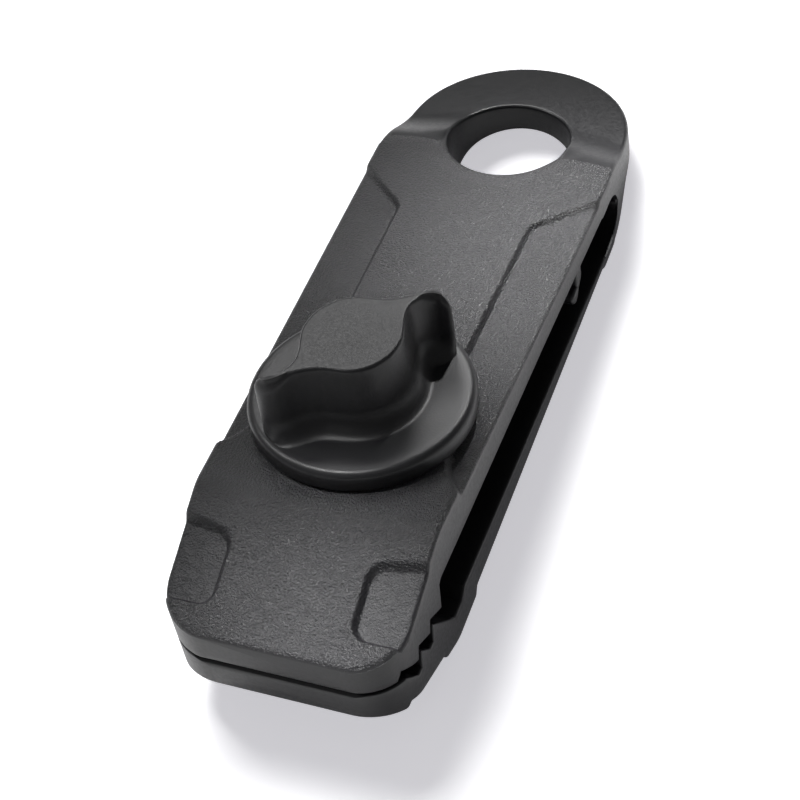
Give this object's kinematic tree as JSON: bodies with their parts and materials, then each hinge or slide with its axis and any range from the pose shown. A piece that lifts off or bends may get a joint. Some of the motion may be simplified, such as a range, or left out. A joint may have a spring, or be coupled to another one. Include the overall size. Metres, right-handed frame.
{
  "type": "tarp clip",
  "caption": "Screw-tightened tarp clip: two toothed jaws on springy arms grip a sheet's edge, and a round eye takes a rope or hook.",
  "frame": {"origin": "centre of the round eye, on the mid-plane between the two arms", "axes": "+Z along the eye's axis, up towards the knob's side; +Y from the jaws towards the ring's far end; +X to the right, across the clip"},
  "size_m": [0.0356, 0.1138, 0.0368],
  "materials": {
    "black_moulding": "fine spark-eroded grain",
    "black_knob": "satin",
    "zinc_steel": "bright zinc plated"
  },
  "bodies": {
    "base": {"eye_and_lower_arm": "black_moulding", "captive_nut": "zinc_steel"},
    "upper": {"upper_arm": "black_moulding"},
    "washer": {"thrust_washer": "zinc_steel"},
    "knob": {"clamp_knob": "black_knob", "clamp_screw": "zinc_steel"}
  },
  "joints": [
    {"name": "upper_arm_flex", "type": "hinge", "parent": "base", "child": "upper", "pos_m": [0, -0.01175, 0.00485], "axis": [-1, 0, 0], "range_deg": [0, 4.5]},
    {"name": "washer_lift", "type": "slide", "parent": "base", "child": "washer", "axis": [0, 0.0758, 0.9971], "range_m": [0, 0.005]},
    {"name": "knob_turn", "type": "hinge", "parent": "washer", "child": "knob", "pos_m": [0, -0.0587, 0.01057], "axis": [0, 0.0758, 0.9971], "range_deg": [0, 1800]}
  ],
  "couplings": [
    {"joint": "washer_lift", "follows": "knob_turn", "m_per_rad": 0.00015915},
    {"joint": "upper_arm_flex", "follows": "knob_turn", "ratio": 0.002479}
  ]
}
